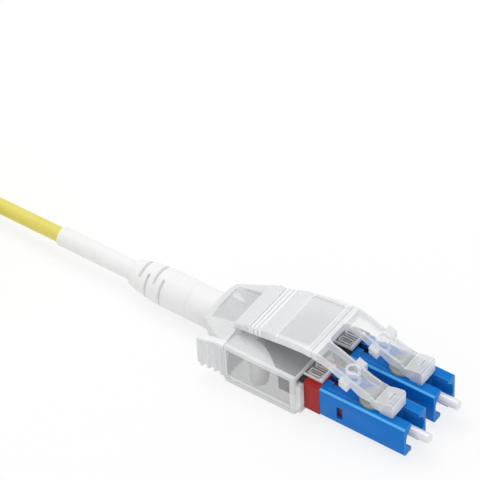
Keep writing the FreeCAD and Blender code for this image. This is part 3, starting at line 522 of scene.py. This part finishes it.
def slot_depth(x, angle, radius):
    """How deep the four flex slots and the fine seam cut; angle is from the middle of the first slot."""
    deep = 0.0
    for i in range(4):
        middle = BOOT_REAR + SLOT_FIRST + SLOT_PITCH * i
        off = angle if i % 2 == 0 else math.pi - angle
        past = max(off - math.radians(SLOT_REACH), 0.0) * radius
        away = math.hypot(x - middle, past) / (SLOT_WIDTH / 2)
        deep = max(deep, SLOT_DEPTH * min(max((1.25 - away) / 0.5, 0.0), 1.0))
    seam = abs(x - BOOT_REAR - SEAM_AT) / SEAM_HALF
    return max(deep, SEAM_DEPTH * max(1 - seam, 0.0))


def boot_mesh():
    body = bmesh.new()
    stations = [BOOT_REAR + RIM_LENGTH * (i / 8) ** 2 for i in range(8)]
    stations += [BOOT_REAR + RIM_LENGTH + BOOT_STEP * i for i in range(int(SLOTTED_LENGTH / BOOT_STEP))]
    seam_x = BOOT_REAR + SEAM_AT
    beside_seam = [side * off for off in (SEAM_HALF / 2, SEAM_HALF, 0.4) for side in (-1, 1)]
    stations += [seam_x] + [seam_x + off for off in beside_seam]
    stations += [-11.0, -8.0, BOOT_FRONT]
    stations = sorted(stations)
    rings = []
    for x in stations:
        radius = boot_radius(x)
        ring = []
        for i in range(BOOT_SIDES):
            angle = 2 * math.pi * i / BOOT_SIDES
            turned = (angle - math.radians(SLOT_TURN)) % (2 * math.pi)
            turned = min(turned, 2 * math.pi - turned)
            out = radius - slot_depth(x, turned, radius)
            across, upward = out * math.sin(angle), out * math.cos(angle)
            ring.append(body.verts.new(Vector((x, across, AXIS_Z + upward)) * MM))
        rings.append(ring)
    bore = []
    for inward, radius in BORE:
        angles = [2 * math.pi * i / BOOT_SIDES for i in range(BOOT_SIDES)]
        bore.append([body.verts.new(Vector((BOOT_REAR + inward, radius * math.sin(angle),
                                            AXIS_Z + radius * math.cos(angle))) * MM) for angle in angles])
    rings = bore[::-1] + rings
    for near, far in zip(rings, rings[1:]):
        for i in range(BOOT_SIDES):
            j = (i + 1) % BOOT_SIDES
            body.faces.new((near[i], near[j], far[j], far[i]))
    bmesh.ops.recalc_face_normals(body, faces=body.faces)
    mesh = bpy.data.meshes.new("flex_boot")
    body.to_mesh(mesh)
    body.free()
    mesh.materials.append(boot_white)
    mesh.polygons.foreach_set("use_smooth", [True] * len(mesh.polygons))
    return mesh


boot = bpy.data.objects.new("flex_boot", boot_mesh())
bpy.context.scene.collection.objects.link(boot)
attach(boot, "connector")
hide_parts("boot")
sleeve_profile = [(SLEEVE_REAR_X, 1.03), (SLEEVE_REAR_X, 1.2), (-34.53, 1.255), (-34.44, 1.275),
                  (-21.975, 1.275)]
sleeve = turned_piece("cord_sleeve", sleeve_profile, 64, sleeve_white, 0.0)
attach(sleeve, "connector")
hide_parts("tail_sleeve")
refinish(jacket_finish(), "cord_in_boot")


# ---- Clear housing ----
# One thin-walled moulding in clear polycarbonate that has a slight milky bloom: box with a stepped lip, rear
# hood, ribbed finger tab and two guide tongues. Edges and ribs are thicker to look through and show white;
# on the rounded edges that white is also a painted highlight, and the hood's sunk panel gets less of it as
# painted shade.
# White of the thick places; on rounded edges and the trigger's ribs it is also a painted highlight.
CLEAR_WHITE_AND_HIGHLIGHT = colour(0.96, 0.97, 0.98)
BOX_BACK = (-5.1, -5.0)         # each pair is where a mask starts and is full
BOX_FRONT = (5.15, 5.05)
DECK_TOP = (5.3, 5.45)
RIB_Y = 0.725                   # a tongue's two ribs, from the tongue's middle


def clear_finish(name, shades, thin, edge, places, grain_share):
    """Clear polymer: thin is how much a plain wall covers, and edge how much a thick place does.

    places gives two masks: where the piece turns white, for being thick to look through and, on rounded edges
    and the trigger's ribs, as a painted highlight; and where it takes the paler shade, which leaves the
    trigger's sunk panel darker as painted shade.
    """
    finish = Finish(name)
    grain = finish.noise(5.5, 4.0, 0.75)
    thick, pale = places(finish)
    wall = finish.blend(pale, *shades)
    return finish.surface(Base_Color=finish.blend(thick, wall, CLEAR_WHITE_AND_HIGHLIGHT),
                          Alpha=thin + grain_share * (grain - 0.5) + (edge - thin) * thick,
                          Roughness=0.2 + 0.2 * grain, Normal=finish.bump(grain, 0.003),
                          Specular_IOR_Level=0.35)


def tongue_frames(finish, x, off_axis, z):
    """The rims of the guide tongues and of the two hollow ribs on each."""
    beside = abs(off_axis - PLUG_Y)
    rim = finish.either(finish.rise(beside, 1.28, 1.34), finish.rise(x, 7.46, 7.54))
    across = abs(beside - RIB_Y)
    rib_rim = finish.either(finish.rise(across, 0.28, 0.33), finish.rise(x, 5.68, 5.63),
                            finish.rise(x, 7.2, 7.25))
    on_rib = finish.rise(across, 0.44, 0.4) * finish.rise(x, 5.5, 5.55) * finish.rise(x, 7.4, 7.35)
    tongue = finish.rise(x, 5.1, 5.15) * finish.rise(z, 5.2, 5.3)
    return finish.either(rim, rib_rim * on_rib) * tongue


def thick_places(finish):
    """Where the housing is thick to look through: corners, lip, the deck's frosted rear, tab and hood."""
    x, y, z = finish.along("X"), finish.along("Y"), finish.along("Z")
    near_y = finish.either(finish.rise(y, 4.7, 4.95), finish.rise(y, -5.8, -6.0))
    near_z = finish.either(finish.rise(z, 5.35, 5.5), finish.rise(z, 0.8, 0.6))
    beside = finish.rise(near_y + near_z, 1.5, 1.95)
    upright = near_y * finish.either(finish.rise(x, 4.3, 4.45), finish.rise(x, -4.6, -4.75))
    deck_front = near_z * finish.rise(x, 4.82, 4.88)
    box = finish.either(beside, upright, deck_front) * finish.rise(x, *BOX_BACK) * finish.rise(x, *BOX_FRONT)
    off_axis = abs(y)
    curve = 4.4 * finish.rise(off_axis, 3.55, 6.0) ** 0.6
    frosted = finish.rise(x - curve, -2.3, -2.4) * finish.rise(z, *DECK_TOP) * finish.rise(x, *BOX_BACK)
    tab = finish.rise(y, -5.5, -5.7) * finish.rise(x, -4.95, -5.15)
    tab_top = tab * finish.rise(z, 5.5, 5.7)
    hood = finish.rise(x, -5.0, -5.1)
    panel = finish.rise(x, -9.4, -9.3) * finish.rise(off_axis, 2.95, 2.85) * finish.rise(z, 5.0, 5.2)
    deck = finish.rise(z, *DECK_TOP) * finish.rise(x, *BOX_BACK) * finish.rise(x, 5.1, 5.0)
    lip = finish.rise(x, 5.05, 5.1) * finish.rise(z, 5.0, 4.9)
    frames = tongue_frames(finish, x, off_axis, z)
    # Painted shade: the hood's sunk panel under the trigger gets less of the white.
    thick = finish.either(0.66 * box, 0.52 * frosted, 0.11 * deck, 0.46 * tab, 0.85 * tab_top,
                          (0.66 - 0.26 * panel) * hood, 0.6 * lip, 0.85 * frames)
    return thick, finish.noise(0.9, 3.0) + 0.4 * frosted


def edge_thickness_and_highlight(finish):
    """A rounded edge is white all along, with a little unevenness: thicker plastic to look through, and a
    painted highlight.
    """
    return finish.noise(6.0, 2.0) * 0.1 + 0.9, finish.noise(0.9, 3.0)


wall_shades = (colour(0.68, 0.69, 0.7), colour(0.78, 0.79, 0.8))
housing_clear = clear_finish("clear_housing_wall", wall_shades, thin=0.25, edge=1.0, places=thick_places,
                             grain_share=0.4)
housing_edge = clear_finish("clear_housing_edge_highlight", wall_shades, thin=0.13, edge=0.85, places=edge_thickness_and_highlight,
                            grain_share=0.2)
housing = moulded("clear_shell", "clear_housing", [housing_clear, housing_edge], edge_mm=0.12)


# ---- Latch: trigger, arms, feet and pads ----
# The latch is moulded in the same clear polymer, but thicker and frosted. A round pad is set in the top of
# each plug body and the latch's foot stands on it. The trigger's ribs and rims are painted white as
# highlights, and its sunk panel darker as shade.
TRIGGER_SHOULDER_X = -3.075
GRIP_XS = (-2.725, -2.105, -1.485)
TRIGGER_PANEL_X = (1.025, 5.525)
SLOT_REAR_X = 6.825
FOOT_FRONT_X = 17.525
FOOT_STEP_X = 15.175
RING_BOSS_X = 11.125


def arm_rims(finish):
    """Thick sides of arms, ears and feet, the slot's round end, the ring boss and the feet's front ends."""
    x, y = finish.along("X"), finish.along("Y")
    off_axis = abs(y)
    beside = abs(off_axis - PLUG_Y)
    side = finish.rise(beside, 1.0, 1.12) * finish.rise(x, 14.4, 14.2)
    foot_side = finish.rise(beside, 1.3, 1.36)
    bridge = finish.rise(x, SLOT_REAR_X + 0.25, SLOT_REAR_X + 0.1)
    ahead = x - RING_BOSS_X
    from_boss = (ahead * ahead + beside * beside) ** 0.5
    boss = finish.stripe(from_boss, 0.74, 0.24)
    front = finish.rise(x, FOOT_FRONT_X - 0.12, FOOT_FRONT_X - 0.04)
    step = finish.stripe(x, FOOT_STEP_X, 0.1)
    foot_end = finish.rise(x, FOOT_STEP_X, FOOT_STEP_X + 0.2)
    thick = finish.either(0.42 * side, 0.5 * foot_side, 0.7 * bridge, 0.5 * boss, 0.85 * front, 0.5 * step,
                          0.42 * foot_end)
    return thick, finish.noise(0.9, 3.0)


def trigger_highlights_and_shade(finish):
    """Painted highlights on the trigger: white lines on three grip ribs, the shoulder behind them and the
    sunk panel's rims; and painted shade, the darker tone, in the sunk panel.
    """
    x, y = finish.along("X"), finish.along("Y")
    ribs = [finish.stripe(x, at, 0.17) for at in GRIP_XS]
    edges = [finish.stripe(x, at, 0.1) for at in TRIGGER_PANEL_X]
    off_axis = abs(y)
    sides = finish.rise(off_axis, 4.0, 4.15)
    panel = finish.rise(x, 1.0, 1.1) * finish.rise(x, 5.55, 5.45) * finish.rise(off_axis, 3.75, 3.65)
    lines = finish.either(*ribs, *edges, finish.stripe(x, TRIGGER_SHOULDER_X, 0.08), 0.55 * sides)
    # Painted shade: the sunk panel takes the darker of the two trigger shades.
    return lines, finish.noise(0.9, 3.0) + 0.5 - 1.2 * panel


arm_shades = (colour(0.86, 0.875, 0.89), colour(0.93, 0.94, 0.95))
trigger_shades = (colour(0.8, 0.815, 0.83), colour(0.92, 0.93, 0.94))
latch_clear = clear_finish("frosted_latch", arm_shades, thin=0.26, edge=1.0, places=arm_rims,
                           grain_share=0.04)
latch_edge = clear_finish("frosted_latch_edge_highlight", arm_shades, thin=0.3, edge=0.95, places=edge_thickness_and_highlight,
                           grain_share=0.1)
trigger_clear = clear_finish("frosted_trigger", trigger_shades, thin=0.76, edge=1.0, places=trigger_highlights_and_shade,
                              grain_share=0.2)
trigger = moulded("press_trigger", "trigger_plate", [trigger_clear, latch_edge], edge_mm=0.1)
arms = moulded("latch_arm_pair", "latch_arms", [latch_clear, latch_edge], edge_mm=0.1)
feet = [moulded("latch_foot_piece_" + side, "latch_foot_" + side, [latch_clear, latch_edge], edge_mm=0.1)
        for side in ("left", "right")]


def pad_finish():
    finish = Finish("olive_grey_pad")
    cloud = finish.noise(1.5, 3.0)
    return finish.surface(Base_Color=finish.blend(cloud, colour(0.3, 0.32, 0.28), colour(0.38, 0.4, 0.35)),
                          Roughness=0.45 + 0.15 * cloud, Normal=finish.bump(cloud, 0.01))


pad_grey = pad_finish()
pads = [moulded("round_pad_" + side, "latch_pad_" + side, [pad_grey, pad_grey], edge_mm=0.06)
        for side in ("left", "right")]


# ---- Far connector ----
# The cord's other end carries the same connector, moulded and put together in the same way. It lies beside
# the coil, at the end of a short straight run of cord.
FAR_RUN = 10.0
leave = math.radians(225.0)     # where the cord leaves the coil, round from +X
way = Vector((-math.sin(leave), math.cos(leave), 0.0))
coil_edge = Vector((COIL_AT[0] + COIL_R * math.cos(leave), COIL_AT[1] + COIL_R * math.sin(leave), 0.0))
far_place = (Matrix.Translation((coil_edge + way * FAR_RUN) * MM)
             @ Vector((1, 0, 0)).rotation_difference(way).to_matrix().to_4x4()
             @ Matrix.Translation(Vector((-SLEEVE_REAR_X, 0, 0)) * MM))


def lay_far(pieces, *nodes):
    """Finished pieces once more, for the cord's other end; the first one stands for the frame's nodes."""
    for place, piece in enumerate(pieces):
        twin = bpy.data.objects.new("far_" + piece.name, piece.data)
        bpy.context.scene.collection.objects.link(twin)
        twin.matrix_world = far_place
        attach(twin, "connector")
        if place == 0:
            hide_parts(*nodes)


lay_far([housing] + holder_pieces + anchor_pieces, "far_housing")
lay_far([trigger, arms] + feet + pads, "far_latch")
for side, plug, ring, ferrule in zip(("left", "right"), plug_pieces, ring_pieces, ferrule_pieces):
    lay_far([plug], "far_plug_" + side)
    lay_far([ring], "far_ring_" + side)
    lay_far([ferrule], "far_ferrule_" + side)
lay_far([boot], "far_boot")
lay_far([sleeve], "far_sleeve")


# ---- Table, daylight and lamps ----
# A plain white paper sweep. Daylight comes from all round, a soft lamp stands above and a weaker one in
# front, and what the eye or a reflection sees of the paper is lifted towards white.
PAPER_LIFT = 0.78
DAYLIGHT = 0.7
TABLE_Z = -0.00005      # metres, just under the resting face
LIT_POINT = (0.002, 0, 0.003)
LAMPS = (               # name, place and width in metres, power
    ("top_lamp", (-0.12, 0.06, 0.34), 0.25, 0.46),
    ("front_lamp", (0.32, -0.2, 0.2), 0.2, 0.1),
)


def table_finish():
    finish = Finish("white_sweep")
    seen = finish.node("ShaderNodeLightPath", {}, {}, "Is Camera Ray")
    glossy = finish.node("ShaderNodeLightPath", {}, {}, "Is Glossy Ray")
    through = finish.node("ShaderNodeLightPath", {}, {}, "Is Transmission Ray")
    looked_at = finish.either(seen, glossy, through)
    paper = finish.node("ShaderNodeBsdfDiffuse", {}, {"Color": colour(0.97, 0.97, 0.97)})
    glow = finish.node("ShaderNodeEmission", {}, {"Color": colour(1, 1, 1), "Strength": 1.0})
    shaded = finish.node("ShaderNodeMixShader", {}, {0: PAPER_LIFT, 1: paper, 2: glow})
    return finish.close(finish.node("ShaderNodeMixShader", {}, {0: looked_at, 1: paper, 2: shaded}))


sweep = bmesh.new()
bmesh.ops.create_grid(sweep, x_segments=1, y_segments=1, size=2.0)
table_mesh = bpy.data.meshes.new("table")
sweep.to_mesh(table_mesh)
sweep.free()
table = bpy.data.objects.new("table", table_mesh)
table.location = (0, 0, TABLE_Z)
table_mesh.materials.append(table_finish())
bpy.context.scene.collection.objects.link(table)

world = bpy.data.worlds.new("daylight")
world.use_nodes = True
bpy.context.scene.world = world
world.node_tree.nodes["Background"].inputs["Color"].default_value = (1, 1, 1, 1)
world.node_tree.nodes["Background"].inputs["Strength"].default_value = DAYLIGHT
for name, place, size, power in LAMPS:
    lamp = bpy.data.lights.new(name, "AREA")
    lamp.shape = "DISK"
    lamp.size = size
    lamp.energy = power
    stand = bpy.data.objects.new(name, lamp)
    stand.location = place
    stand.rotation_euler = (Vector(place) - Vector(LIT_POINT)).to_track_quat("Z", "Y").to_euler()
    bpy.context.scene.collection.objects.link(stand)
bpy.context.scene.view_settings.view_transform = "Standard"
